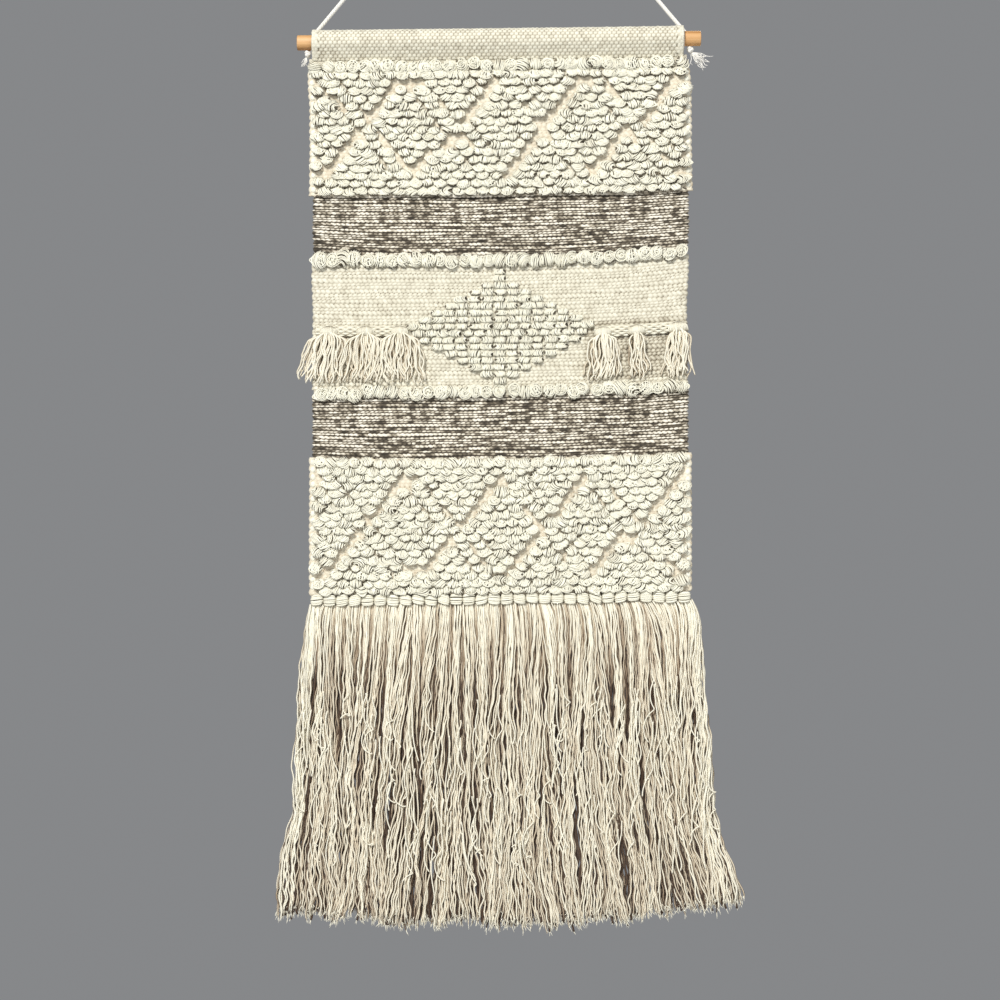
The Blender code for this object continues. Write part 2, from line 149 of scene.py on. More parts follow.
def tubes(paths, radii, sides=5, tint=0.5, flank=0.0):
    """Round capped strands: paths is (..., point, xyz), and radii and tint spread over all but its last axis.

    Each strand's first corner faces the front. flank is how much deeper the tint is on its flanks, where the
    strand beside it shades it.
    """
    radii = np.broadcast_to(radii, paths.shape[:-1])
    tint = np.broadcast_to(tint, paths.shape[:-1])
    paths = paths.reshape(-1, *paths.shape[-2:])
    count, length = paths.shape[:2]
    tangent = np.gradient(paths, axis=1)
    tangent /= np.maximum(np.linalg.norm(tangent, axis=2, keepdims=True), 1e-12)
    front, level = np.array([0.0, -1.0, 0.0]), np.array([1.0, 0.0, 0.0])
    across = np.where(np.abs(tangent[:, 0, 1:2]) > 0.95, level, front)
    frames = np.empty_like(paths)
    for i in range(length):
        across = across - (across * tangent[:, i]).sum(axis=1, keepdims=True) * tangent[:, i]
        across /= np.maximum(np.linalg.norm(across, axis=1, keepdims=True), 1e-12)
        frames[:, i] = across
    other = np.cross(tangent, frames)
    turn = 2 * np.pi * np.arange(sides) / sides
    outward = np.cos(turn)[:, None] * frames[:, :, None] + np.sin(turn)[:, None] * other[:, :, None]
    rings = radii.reshape(count, length, 1, 1) * outward + paths[:, :, None]
    index = np.arange(count * length * sides).reshape(count, length, sides)
    tint = tint.reshape(count, length, 1) - flank * (1 - outward[..., 1] ** 2)
    return rings.reshape(-1, 3), skin(index), tint.ravel()


def ripple(t, turns, dice, count):
    """A small wave of its own along each of count strands, with about that many turns."""
    turns = dice.uniform(0.7 * turns, 1.4 * turns, (count, 1))
    return np.sin(2 * np.pi * (t * turns + dice.random((count, 1))))


def ringed_solid(rings, tint=0.5):
    """A closed solid through rings of points, (ring, point, xyz), with a flat cap on each end."""
    index = np.arange(rings.size // 3).reshape(1, *rings.shape[:2])
    return rings.reshape(-1, 3), skin(index), np.broadcast_to(tint, rings.shape[:2]).ravel()


def over_cloth(x, drop, half, right, down, out):
    """Points that stand out from the cloth round each (x, drop): right and down are shares of half."""
    x, drop = x[:, None, None], drop[:, None, None]
    return hang(x + half[0] * right, CLOTH_FRONT - out, drop + half[1] * down)


def mounds(x, drop, half, depth, lean, tint):
    """Low closed domes on the cloth: the tufts' dark cores, which are painted shade, and the beads of a
    selvedge.

    half is their (half width, half height), and lean lifts the lower rim.
    """
    size, height = np.array([1.0, 0.93, 0.62, 0.2]), np.array([0.0, 0.42, 0.80, 0.98])
    sides = 8
    turn = 2 * np.pi * np.arange(sides) / sides
    right, down = size[:, None] * np.cos(turn), size[:, None] * np.sin(turn)
    height = height[:, None]
    out = depth * height + lean * (down + 1) / 2 * (height > 0) - ROOT
    place = over_cloth(x, drop, half, right, down, out)
    index = np.arange(place.size // 3).reshape(len(x), len(size), sides)
    near, far = index[:, :-1], index[:, 1:]
    walls = np.stack([near, far, np.roll(far, -1, axis=2), np.roll(near, -1, axis=2)], axis=-1)
    caps = np.concatenate([index[:, 0], index[:, -1, ::-1]])
    return place.reshape(-1, 3), [walls.reshape(-1, 4), caps], np.full(index.size, tint)


def add_piece(name, parts, yarn, body=None, stands_for=()):
    """One mesh object from parts of (points, faces by corner count, tint), riding on a body.

    yarn is a (material, slot), and stands_for names the CAD nodes that the piece replaces.
    """
    material, slot = yarn
    loops, starts, first_point, first_loop = [], [], 0, 0
    for points, faces, _ in parts:
        for face in faces:
            loops.append((face + first_point).ravel())
            starts.append(first_loop + face.shape[1] * np.arange(len(face)))
            first_loop += face.size
        first_point += len(points)
    starts = np.concatenate(starts)
    mesh = bpy.data.meshes.new(name)
    mesh.vertices.add(first_point)
    mesh.vertices.foreach_set("co", np.concatenate([p for p, _, _ in parts]).astype(np.float32).ravel())
    mesh.loops.add(first_loop)
    mesh.loops.foreach_set("vertex_index", np.concatenate(loops).astype(np.int32))
    mesh.polygons.add(len(starts))
    mesh.polygons.foreach_set("loop_start", starts.astype(np.int32))
    mesh.update(calc_edges=True)
    mesh.validate()
    mesh.shade_smooth()
    tint = mesh.attributes.new("tint", "FLOAT", "POINT")
    tint.data.foreach_set("value", np.clip(np.concatenate([t for _, _, t in parts]), 0, 1).astype(np.float32))
    mesh.materials.append(material)
    piece = bpy.data.objects.new(name, mesh)
    bpy.context.scene.collection.objects.link(piece)
    if body is not None:
        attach(piece, body)
    if stands_for:
        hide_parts(*stands_for)
    return piece


def smooth_route(points, spacing):
    """Points about spacing apart along the smooth curve through the given ones."""
    points = [Vector(p) for p in points]
    ends = [2 * points[0] - points[1], *points, 2 * points[-1] - points[-2]]
    route = []
    for before, a, b, after in zip(ends, ends[1:], ends[2:], ends[3:]):
        steps = max(1, round((b - a).length / spacing))
        for step in range(steps):
            t = step / steps
            route.append(
                0.5 * (2 * a + t * (b - before) + t * t * (2 * before - 5 * a + 4 * b - after)
                       + t ** 3 * (3 * a - before - 3 * b + after))
            )
    return np.array([*route, points[-1]])


# ---- materials


class Nodes:
    """A small helper for wiring a material's nodes."""

    def __init__(self, name, roughness, sheen=0.0):
        self.material = bpy.data.materials.new(name)
        self.material.use_nodes = True
        self.tree = self.material.node_tree
        self.shader = self.tree.nodes["Principled BSDF"]
        self.shader.inputs["Roughness"].default_value = roughness
        if sheen:
            self.shader.inputs["Sheen Weight"].default_value = sheen
            self.shader.inputs["Sheen Roughness"].default_value = 0.5

    def add(self, kind, links=(), **values):
        """A node with some sockets set by name in values and others linked from (output, input name)."""
        node = self.tree.nodes.new(kind)
        for key, value in values.items():
            if hasattr(node, key):
                setattr(node, key, value)
            else:
                node.inputs[key.replace("_", " ")].default_value = value
        for output, name in links:
            self.tree.links.new(output, node.inputs[name])
        return node

    def link(self, output, socket):
        self.tree.links.new(output, self.shader.inputs[socket])

    def place(self, scale=(1.0, 1.0, 1.0)):
        """Object coordinates, stretched by scale."""
        coordinates = self.tree.nodes.new("ShaderNodeTexCoord").outputs["Object"]
        return self.add("ShaderNodeMapping", [(coordinates, "Vector")], Scale=scale).outputs["Vector"]

    def noise(self, place, scale, detail=2.0, roughness=0.5):
        return self.add(
            "ShaderNodeTexNoise", [(place, "Vector")], Scale=scale, Detail=detail, Roughness=roughness
        ).outputs["Fac"]

    def math(self, operation, *terms):
        node = self.tree.nodes.new("ShaderNodeMath")
        node.operation = operation
        for socket, term in zip(node.inputs, terms):
            if isinstance(term, (int, float)):
                socket.default_value = term
            else:
                self.tree.links.new(term, socket)
        return node.outputs[0]

    def ramp(self, factor, stops):
        """Colour by factor, through stops of (position, colour)."""
        node = self.add("ShaderNodeValToRGB", [(factor, "Fac")])
        ramp = node.color_ramp
        while len(ramp.elements) < len(stops):
            ramp.elements.new(0.5)
        for element, (position, colour) in zip(ramp.elements, stops):
            element.position = position
            element.color = (*colour, 1.0)
        return node.outputs["Color"]

    def bump(self, height, strength, distance):
        node = self.add("ShaderNodeBump", [(height, "Height")], Strength=strength, Distance=distance)
        self.link(node.outputs["Normal"], "Normal")


def cotton(name, slot, stops, mottle=0.16, fleck=95.0, streak=1.0):
    """Spun cotton and the CAD slot it belongs to.

    It shows the tint attribute, which holds each strand's own tone and the painted shade laid on it, a soft
    mottle of fleck patches a metre, and fine fibres. streak is the patches' width over their height.
    """
    nodes = Nodes(name, 0.92, sheen=0.12)
    tint = nodes.add("ShaderNodeAttribute", attribute_name="tint").outputs["Fac"]
    place = nodes.place()
    mottled = nodes.math("SUBTRACT", nodes.noise(nodes.place((1 / streak, 1.0, 1.0)), fleck, 3.0), 0.5)
    fibres = nodes.noise(place, 1500.0, 3.0, 0.7)
    shade = nodes.math("ADD", tint, nodes.math("MULTIPLY", mottled, mottle * 2))
    shade = nodes.math("ADD", shade, nodes.math("MULTIPLY", nodes.math("SUBTRACT", fibres, 0.5), 0.35))
    nodes.link(nodes.ramp(shade, stops), "Base Color")
    nodes.bump(fibres, 0.5, 0.0004)
    return nodes.material, slot


def pine():
    """Bare pine with straight grain along the dowel and a few darker growth lines."""
    nodes = Nodes("light_pine_grain", 0.5)
    fine = nodes.noise(nodes.place((9.0, 420.0, 420.0)), 1.0, 4.0, 0.6)
    rings = nodes.noise(nodes.place((1.6, 120.0, 120.0)), 1.0, 2.0, 0.5)
    shade = nodes.math("ADD", nodes.math("MULTIPLY", fine, 0.45), nodes.math("MULTIPLY", rings, 0.55))
    stops = [(0.34, (0.40, 0.178, 0.056)), (0.45, (0.60, 0.325, 0.122)), (0.60, (0.74, 0.445, 0.205))]
    nodes.link(nodes.ramp(shade, stops), "Base Color")
    nodes.bump(fine, 0.25, 0.0003)
    return nodes.material


# Low tints, which stand for painted shade in tuft cores, dark beds and fringe gaps, run into the dark brown
# first stops of CREAM and LOOSE.
CREAM = cotton("cream_cotton_yarn", "cream_cotton", [
    (0.00, (0.060, 0.046, 0.030)),
    (0.22, (0.32, 0.278, 0.200)),
    (0.48, (0.66, 0.618, 0.490)),
    (0.75, (0.84, 0.812, 0.675)),
    (1.00, (0.92, 0.905, 0.775)),
])
LOOSE = cotton("cream_cotton_loose_yarn", "cream_cotton", [
    (0.07, (0.072, 0.041, 0.023)),
    (0.22, (0.35, 0.258, 0.170)),
    (0.48, (0.66, 0.575, 0.430)),
    (0.75, (0.84, 0.785, 0.635)),
    (1.00, (0.93, 0.900, 0.765)),
])
CORD = cotton("cord_cotton_twist", "cord_cotton", [
    (0.10, (0.55, 0.51, 0.45)),
    (0.55, (0.82, 0.80, 0.74)),
    (0.90, (0.93, 0.91, 0.86)),
])
MELANGE = cotton("melange_wool_yarn", "melange_yarn", [
    (0.05, (0.030, 0.024, 0.016)),
    (0.35, (0.14, 0.114, 0.080)),
    (0.60, (0.54, 0.482, 0.375)),
    (0.90, (0.93, 0.88, 0.76)),
], mottle=0.40, fleck=430.0, streak=5.0)
PINE = pine()


# ---- the cord

CORD_RADIUS = 0.0021
CORD_PLIES = 7
CORD_LAY = 0.021
# How much fatter a ply is than one that only touches its neighbours.
PLY_SQUASH = 1.12

# The right-hand leg of the cord, from the knot at the apex down to the knot under the dowel: across, y, drop.
CORD_ROUTE = [
    (0.0067, -0.0075, 0.0161),
    (0.0300, -0.0074, 0.0437),
    (0.0600, -0.0072, 0.0792),
    (0.0900, -0.0070, 0.1147),
    (0.1200, -0.0067, 0.1502),
    (0.1500, -0.0063, 0.1857),
    (0.1700, -0.0060, 0.2094),
    (0.1800, -0.0058, 0.2212),
    (0.1857, -0.0058, 0.2280),
    (0.1890, -0.0062, 0.2325),
    (0.1908, -0.0072, 0.2362),
    (0.1915, -0.0084, 0.2400),
    (0.1915, -0.0097, 0.2437),
    (0.1915, -0.0122, 0.2468),
    (0.1915, -0.0148, 0.2482),
]


def tilted(x, y, drop):
    """A point of the hanger, which tilts with the dowel but doesn't sag."""
    return (x, y, TILT * x - drop)


def twisted(route, radius, dice, lay=CORD_LAY):
    """Plies laid round a route, once every lay: their outsides reach about radius from it."""
    step = np.linalg.norm(np.diff(route, axis=0), axis=1)
    along = np.concatenate([[0.0], np.cumsum(step)])
    tangent = np.gradient(route, axis=0)
    tangent /= np.linalg.norm(tangent, axis=1, keepdims=True)
    across = np.cross(tangent[0], np.eye(3)[np.abs(tangent[0]).argmin()])
    side = np.empty_like(route)
    for i, forward in enumerate(tangent):
        across = across - (across @ forward) * forward
        across /= np.linalg.norm(across)
        side[i] = across
    up = np.cross(tangent, side)
    share = math.sin(math.pi / CORD_PLIES)
    ply_radius = PLY_SQUASH * radius * share / (1 + share)
    core_radius = radius - ply_radius
    phase = 2 * np.pi * np.arange(CORD_PLIES)[:, None] / CORD_PLIES + 2 * np.pi * along / lay
    paths = route + core_radius * (np.cos(phase)[..., None] * side + np.sin(phase)[..., None] * up)
    tint = 0.70 + dice.normal(0, 0.05, (CORD_PLIES, 1))
    return tubes(paths, ply_radius, 6, tint), tubes(route[None], core_radius, 6, 0.5)


def add_cord(name, route, radius, dice, node, lay=CORD_LAY):
    """A length of twisted cord that belongs to the hanger and replaces a node."""
    return add_piece(name, twisted(route, radius, dice, lay), CORD, "hanger", [node])


def make_cord_leg(side, word):
    dice = dice_for("cord" + word)
    route = smooth_route([tilted(side * x, y, drop) for x, y, drop in CORD_ROUTE], 0.0016)
    node = "hanging_cord_" + word
    return add_cord(node + "_twist", route, CORD_RADIUS, dice, node, side * CORD_LAY), route


def trefoil(centre, radii):
    """The path of an overhand knot, fitted into an ellipsoid."""
    t = np.linspace(0, 2 * np.pi, 72)
    across, up = np.sin(t) + 2 * np.sin(2 * t), np.cos(t) - 2 * np.cos(2 * t)
    return np.array(centre) + np.stack([across / 3, -np.sin(3 * t), up / 3], axis=1) * np.array(radii)


def make_hanging_loop():
    dice = dice_for("loop")
    knot_low, knot_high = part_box("hanging_loop_knot")
    loop_low, loop_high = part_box("hanging_loop")
    knot_centre = (knot_low + knot_high) / 2
    half_span = (loop_high.x - loop_low.x) / 2 - CORD_RADIUS
    top = loop_high.z - CORD_RADIUS
    height = (top - knot_centre.z) / 2
    turn = np.linspace(-0.35 * np.pi, 1.35 * np.pi, 60)
    route = np.stack([
        half_span * np.cos(turn), np.full(60, knot_centre.y), top - height + height * np.sin(turn)
    ], axis=1)
    loop = add_cord("hanging_loop_twist", route, CORD_RADIUS, dice, "hanging_loop")
    radii = (knot_high - knot_low) / 2 - Vector((1, 1, 1)) * CORD_RADIUS * 0.9
    knot = add_cord("hanging_loop_overhand_knot", trefoil(knot_centre, radii), CORD_RADIUS * 0.95, dice,
                    "hanging_loop_knot")
    return [loop, knot]


def make_cord_end(word):
    """The cord's turn round the dowel and the small tight knot below it."""
    dice = dice_for("end" + word)
    low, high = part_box("cord_turn_" + word)
    centre = (low + high) / 2
    reach = (high.y - low.y) / 2 - CORD_RADIUS
    angle = np.linspace(0, 2 * np.pi, 49)
    route = np.stack([
        np.full_like(angle, centre.x), centre.y + reach * np.cos(angle), centre.z + reach * np.sin(angle)
    ], axis=1)
    turn = add_cord("cord_turn_%s_twist" % word, route, CORD_RADIUS, dice, "cord_turn_" + word)
    low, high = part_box("cord_knot_" + word)
    radii = (high - low) / 2 - Vector((1, 1, 1)) * 0.0013
    knot = add_cord("cord_knot_%s_overhand" % word, trefoil((low + high) / 2, radii), 0.0017, dice,
                    "cord_knot_" + word)
    return [turn, knot]


TAILS = {
    "left": [(-0.1925, -0.0190, 0.2535), (-0.1938, -0.0193, 0.2575), (-0.1950, -0.0190, 0.2610)],
    "right": [(0.1930, -0.0190, 0.2530), (0.1975, -0.0200, 0.2562), (0.2015, -0.0205, 0.2588),
              (0.2065, -0.0200, 0.2622)],
}


def make_cord_tail(word, strands, spread):
    """The cord's frayed end: yarns that start in the knot and fan apart."""
    dice = dice_for("tail" + word)
    base = smooth_route([tilted(*p) for p in TAILS[word]], 0.0008)
    share = np.linspace(0, 1, len(base))
    aim = dice.normal(0, 1, (strands, 1, 3)) * np.array([0.8, 0.5, 1.0]) * spread
    curl = dice.uniform(0, 2 * np.pi, (strands, 3))
    wave = np.sin(9 * share[None, :, None] + curl[:, None, :]) * 0.0013 * share[None, :, None]
    reach = dice.uniform(0.75, 1.15, (strands, 1, 1))
    paths = base[0] + (base - base[0]) * reach + aim * (share ** 0.8)[None, :, None] + wave
    radii = 0.00048 * (1 - 0.35 * share)
    return add_piece("cord_tail_%s_frayed" % word, [tubes(paths, radii, 5, 0.7)],
                     CORD, "hanger", ["cord_tail_" + word])


def make_cords():
    legs = {"left": make_cord_leg(-1, "left"), "right": make_cord_leg(1, "right")}
    shared = make_hanging_loop()
    ends = {word: make_cord_end(word) for word in legs}
    tails = {"left": make_cord_tail("left", 9, 0.0016), "right": make_cord_tail("right", 28, 0.0046)}


# ---- weaves

# A bump's width and height in the plain cream weave, in the pile's ground and in the streaky bands.
CREAM_BUMP, GROUND_BUMP, BAND_BUMP = (0.0046, 0.0036), (0.0050, 0.0036), (0.0046, 0.0029)
# How far a bump reaches across and down, in bumps: past a half, it runs on under its neighbours.
PLAIN_FAT = (0.57, 0.64)


def pebbles(u, v, dice, fat=PLAIN_FAT):
    """A plain weave's staggered bumps at u across and v down, in bumps: the height, and each bump's tone."""
    best = np.zeros(np.broadcast(u, v).shape)
    tone = np.zeros_like(best)
    rows, columns = int(np.max(v)) + 4, int(np.max(u)) + 4
    heights, tones = dice.uniform(0.78, 1.0, (rows, columns)), dice.random((rows, columns))
    for step in (-1, 0, 1):
        row = np.floor(v) + step
        across = u + 0.5 * (row % 2)
        index = (row.astype(int) % rows, np.floor(across).astype(int) % columns)
        height = 1 - ((across % 1 - 0.5) / fat[0]) ** 2 - ((v - row - 0.5) / fat[1]) ** 2
        height = np.sqrt(np.clip(height, 0, 1)) * heights[index]
        tone = np.where(height > best, tones[index], tone)
        best = np.maximum(best, height)
    return best, tone


def woven_sheet(name, half, top, bottom, yarn, tone_of, bump, per_bump, lift, edge_bump, fat=PLAIN_FAT):
    """A closed woven cloth: bumpy in front, with rounded selvedges and a plainer back.

    bump is a bump's (width, height), per_bump how many points span it, lift how far it stands out, and
    edge_bump how far the weft's turns stick out at a selvedge.
    """
    dice = dice_for(name)
    columns = 2 * round(half / bump[0]) * per_bump[0]
    rows = round((bottom - top) / bump[1]) * per_bump[1]
    u = np.arange(columns + 1) / per_bump[0]
    v = np.arange(rows + 1)[:, None] / per_bump[1]
    wander = 0.28 * np.sin(v * 1.9 + 2.0 * np.sin(u / 11.0)) + 0.2 * np.sin(v * 0.7 + u / 23.0)
    height, tone = pebbles(u + wander, v + 0.6 * wander, dice, fat)
    straying = np.cumsum(dice.normal(0, 0.00009, rows + 1))[:, None]
    level = np.linspace(top, bottom, rows + 1)[:, None]
    drop = level + 0.0004 * np.sin(u / 5.3 + 1.7 * np.sin(v / 4.0))
    x = np.linspace(-half, half, columns + 1)
    scallop = edge_bump * np.abs(np.sin(np.pi * v * 0.5)) + (straying - straying.mean())
    x = x + np.sign(x) * scallop * (np.abs(x) / half) ** 12
    front = np.stack([x, CLOTH_FRONT - lift * (height - 0.45), drop], axis=-1)
    middle, depth = (CLOTH_FRONT + CLOTH_BACK) / 2, (CLOTH_BACK - CLOTH_FRONT) / 2

    def selvedge(column, side):
        """The rounded edge beside a column of the front: side is 1 on the right and -1 on the left."""
        turn = np.pi * np.linspace(0.25, 0.75, 3)[::side]
        edge = front[:, column, None]
        return np.stack(np.broadcast_arrays(
            edge[..., 0] + side * depth * 0.8 * np.sin(turn), middle - depth * np.cos(turn), edge[..., 2]
        ), axis=-1)

    back_x = np.linspace(half, -half, columns // 3 + 1)
    back_height, back_tone = pebbles((back_x + half) / bump[0], v, dice, fat)
    back = np.stack(np.broadcast_arrays(back_x, CLOTH_BACK + 0.0004 * back_height, level), axis=-1)
    ring = np.concatenate([front, selvedge(-1, 1), back, selvedge(0, -1)], axis=1)
    front_tint = tone_of(x, np.floor(v), height, tone)
    back_tint = tone_of(back_x, np.floor(v), back_height, back_tone)
    right_tint, left_tint = (np.repeat(front_tint[:, [column]], 3, axis=1) for column in (-1, 0))
    tint = np.concatenate([front_tint, right_tint, back_tint, left_tint], axis=1)
    points = hang(*np.moveaxis(ring, -1, 0))
    return add_piece(name, [ringed_solid(points[:, ::-1], tint[:, ::-1])], yarn)


# The shade behind the right-hand tassels: where it starts across, and how far down the centre weave it runs.
TASSEL_SHADE_X, TASSEL_SHADE = 0.085, (0.058, 0.118)


def cream_tone(height, tone, base, deep):
    """Tint for a cream weave: pale on the bumps, with painted shade deeper between them."""
    return base + deep * (height - 0.85) + 0.10 * (tone - 0.5)


def ground_tone(x, row, height, tone):
    """The ground of the pile, where even the hollows stay pale."""
    return cream_tone(height, tone, 0.74, 0.60)


def panel_tone(x, row, height, tone):
    """The centre weave, duller where it is shaded behind the right-hand tassels."""
    down = row * CREAM_BUMP[1]
    behind = (x > TASSEL_SHADE_X) & (down > TASSEL_SHADE[0]) & (down < TASSEL_SHADE[1])
    return cream_tone(height, tone, 0.70, 0.80) - 0.17 * behind


def melange_tone(x, row, height, tone):
    """Ecru beads on charcoal: the yarn darkens along streaks, and some rows are darker throughout."""
    lean = np.sin(12.9898 * row + 0.6) * 43758.5 % 1
    streak = np.sin(60 * x + 40 * lean) + np.sin(171 * x + 90 * lean) + np.sin(430 * x + 60 * lean)
    pale = np.clip(0.74 - 0.18 * streak - 0.45 * (lean - 0.5) + 0.4 * (tone - 0.5), 0.10, 1)
    return 0.02 + 0.98 * pale * np.clip((height - 0.30) / 0.45, 0, 1)


def make_pocket():
    """The weave folded round the dowel: bumpy outside, with a wider mouth at each end for the cord's turn."""
    name = "rod_pocket_weave"
    dice = dice_for(name)
    low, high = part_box("rod_pocket")
    half = (high.x - low.x) / 2
    mouth_radius = (DOWEL_Y - low.y) - 0.0008
    plain_radius = mouth_radius - 0.0006
    inner_plain, inner_mouth = DOWEL_RADIUS + 0.0005, DOWEL_RADIUS + 0.0046
    # In from each end: where the mouth starts to widen, where it is widest, and where the stitches run.
    mouth_length, mouth_full, hem_width = 0.012, 0.003, 0.0062
    cloth = (CLOTH_BACK - CLOTH_FRONT) / 2
    seam = POCKET_SEAM - DOWEL_DROP + 0.002
    across_bump, down_bump = 6, 4

    def profile(radius, steps):
        """The fold's outside in (y, z) about the dowel's axis, from front to back, and its length."""
        lean = math.atan2(seam, cloth) - math.acos(radius / math.hypot(cloth, seam))
        turn = np.linspace(math.pi + lean, -lean, 40)
        arc = radius * np.stack([np.cos(turn), np.sin(turn)], axis=1)
        line = np.concatenate([[(-cloth, -seam)], arc, [(cloth, -seam)]])
        along = np.concatenate([[0], np.cumsum(np.linalg.norm(np.diff(line, axis=0), axis=1))])
        even = np.linspace(0, along[-1], steps + 1)
        return np.stack([np.interp(even, along, line[:, k]) for k in (0, 1)], axis=1), along[-1]

    girth = profile(plain_radius, 1)[1]
    columns = 2 * round(half / CREAM_BUMP[0]) * across_bump
    rows = round(girth / CREAM_BUMP[1]) * down_bump
    x = np.linspace(-half, half, columns + 1)
    from_end = half - np.abs(x)
    widening = np.clip((mouth_length - from_end) / (mouth_length - mouth_full), 0, 1)
    widening = widening * widening * (3 - 2 * widening)
    plain, wide = profile(plain_radius, rows)[0], profile(mouth_radius, rows)[0]
    outside = plain[:, None] + (wide - plain)[:, None] * widening[:, None]
    inner_radius = np.where(from_end < 0.005, inner_mouth, inner_plain)
    turn = np.linspace(-0.5 * np.pi + 0.25, 1.5 * np.pi - 0.25, 17)[:, None]
    inside = np.stack([inner_radius * np.cos(turn), inner_radius * np.sin(turn)], axis=-1)
    normal = np.gradient(outside, axis=0)
    normal = np.stack([-normal[..., 1], normal[..., 0]], axis=-1)
    normal /= np.linalg.norm(normal, axis=-1, keepdims=True)
    v = np.arange(rows + 1)[:, None] / down_bump
    height, tone = pebbles(np.arange(columns + 1) / across_bump, v, dice)
    hem = np.clip((from_end - hem_width) / 0.0012, 0, 1)
    stitch = np.exp(-((from_end - hem_width) / 0.0007) ** 2) * (np.sin(v * np.pi * 0.75) > 0.2)
    lift = 0.0012 * (height - 0.45) * (0.6 + 0.4 * hem) - 0.0011 * stitch
    # The tint holds painted shade: deeper between the bumps and in the sunken stitch line.
    tint = 0.72 + 0.95 * (height - 0.85) * (0.5 + 0.5 * hem) + 0.10 * (tone - 0.5) - 0.45 * stitch
    ring = np.concatenate([outside + normal * lift[..., None], inside])
    # The inside of the fold, round the dowel, is painted darker as shade.
    tints = np.concatenate([tint, np.full(inside.shape[:2], 0.35)])
    scallop = 0.0004 * np.sin(np.pi * np.arange(len(ring))[:, None] / 4) * (np.abs(x) / half) ** 20
    points = hang(x + np.sign(x) * scallop, DOWEL_Y + ring[..., 0], DOWEL_DROP - ring[..., 1])
    piece = add_piece(name, [ringed_solid(points.transpose(1, 0, 2), tints.T)], CREAM,
                      "upper_tapestry", ["rod_pocket"])
    return piece


# ---- pile, loops and knots

YARN_RADIUS = 0.00058
# The fringe's bundles, each with a knot at its top, and how many of them each section has.
BUNDLES, BUNDLES_PER_SECTION = 30, 5


def dome_strands(x, drop, half, depth, lean, angle, dice, count=12, points=7, boxy=2.0, flank=0.18,
                 shade=0.94):
    """Tufts as domes of side-by-side yarns that lie at angle: half is their (half width, half height).

    lean lifts the lower rim, and boxy above 2 squares the tuft's outline.
    """
    n = len(x)
    q = np.linspace(-0.88, 0.88, count) + dice.normal(0, 0.045, (n, count))
    q = np.clip(q, -0.94, 0.94)[..., None]
    s = np.linspace(-1, 1, points)
    along = s * (1 - np.abs(q) ** boxy) ** (1 / boxy) * dice.uniform(0.86, 1.06, (n, count, 1))
    across = q + dice.normal(0, 0.28, (n, 1, 1)) * (1 - s ** 2) + dice.normal(0, 0.07, (n, count, 1)) * s
    cos, sin = np.cos(angle)[:, None, None], np.sin(angle)[:, None, None]
    right, down = along * cos - across * sin, along * sin + across * cos
    height = np.sqrt(np.clip(1 - np.abs(right) ** boxy - np.abs(down) ** boxy, 0, 1))
    proud = height * (1 + dice.normal(0, 0.13, (n, count, 1)))
    size = dice.normal(1, 0.09, (n, 1, 1))
    out = depth * size * proud + lean * (down + 1) / 2
    tint = shade + dice.normal(0, 0.04, (n, 1, 1)) + dice.normal(0, 0.07, (n, count, 1))
    # Painted shade: a tuft darkens towards its top, which the row above shades.
    tint = tint - 0.26 * np.clip(-down, 0, 1) ** 2
    return tubes(over_cloth(x, drop, half, size * right, size * down, out), YARN_RADIUS, 5, tint, flank)


def rosette_strands(x, drop, half, depth, lean, dice):
    """Looped tufts seen end on: yarns that curl round the tuft's middle."""
    n, count, points = len(x), 5, 12
    ring = (np.linspace(0.16, 0.90, count) + dice.normal(0, 0.03, (n, count)))[..., None]
    start = dice.uniform(0, 2 * np.pi, (n, count, 1))
    sweep = dice.uniform(0.9, 1.7, (n, count, 1)) * np.pi
    turn = start + sweep * np.linspace(0, 1, points)
    right, down = ring * np.cos(turn), ring * np.sin(turn)
    out = depth * np.sqrt(np.clip(1 - right ** 2 - down ** 2, 0, 1)) + lean * (down + 1) / 2
    tint = 0.94 + dice.normal(0, 0.07, (n, count, 1))
    return tubes(over_cloth(x, drop, half, right, down, out), YARN_RADIUS, 5, tint, 0.22)


TUFT_PITCH, TUFT_ROW = 0.0121, 0.0076
TUFT_HALF = (0.0067, 0.0054)
TUFT_DEPTH, TUFT_LEAN = 0.0024, 0.0058
# The outermost tufts' middles lie within this of the panel's middle.
TUFT_EDGE = 0.183
# A channel's half width in tufts, and the share of the tufts in its way that grow there all the same: in the
# channels that rise to the right, which are wide and bare, and in the others, which are mostly grown over.
RISING_CHANNEL, FALLING_CHANNEL = (0.53, 0.02), (0.50, 0.64)
# How far the tufts beside a channel crowd in over it, and how much of that they do where it is bare.
CROWDING, BARE_CROWDING = 0.0032, 0.2
LATTICE_PITCH = 0.090
# The share of the tufts that curl into rosettes.
CURLED = 0.45
# The weft's turns at the sides of the pile: how far apart, and (half width, half height).
BEAD_PITCH, BEAD_HALF = 0.0072, (0.0030, 0.0034)


def tuft_places(top, bottom):
    """Where tufts grow in the staggered rows of a pile panel, before any channel is left bare."""
    rows = round((bottom - top) / TUFT_ROW)
    pitch = (bottom - top) / rows
    count = int(TUFT_EDGE / TUFT_PITCH)
    places = []
    for row in range(rows):
        across = TUFT_PITCH * (np.arange(-count - 1, count + 2) + 0.5 * (row % 2))
        places += [(x, top + (row + 0.45) * pitch) for x in across[np.abs(across) <= TUFT_EDGE]]
    return np.array(places).T


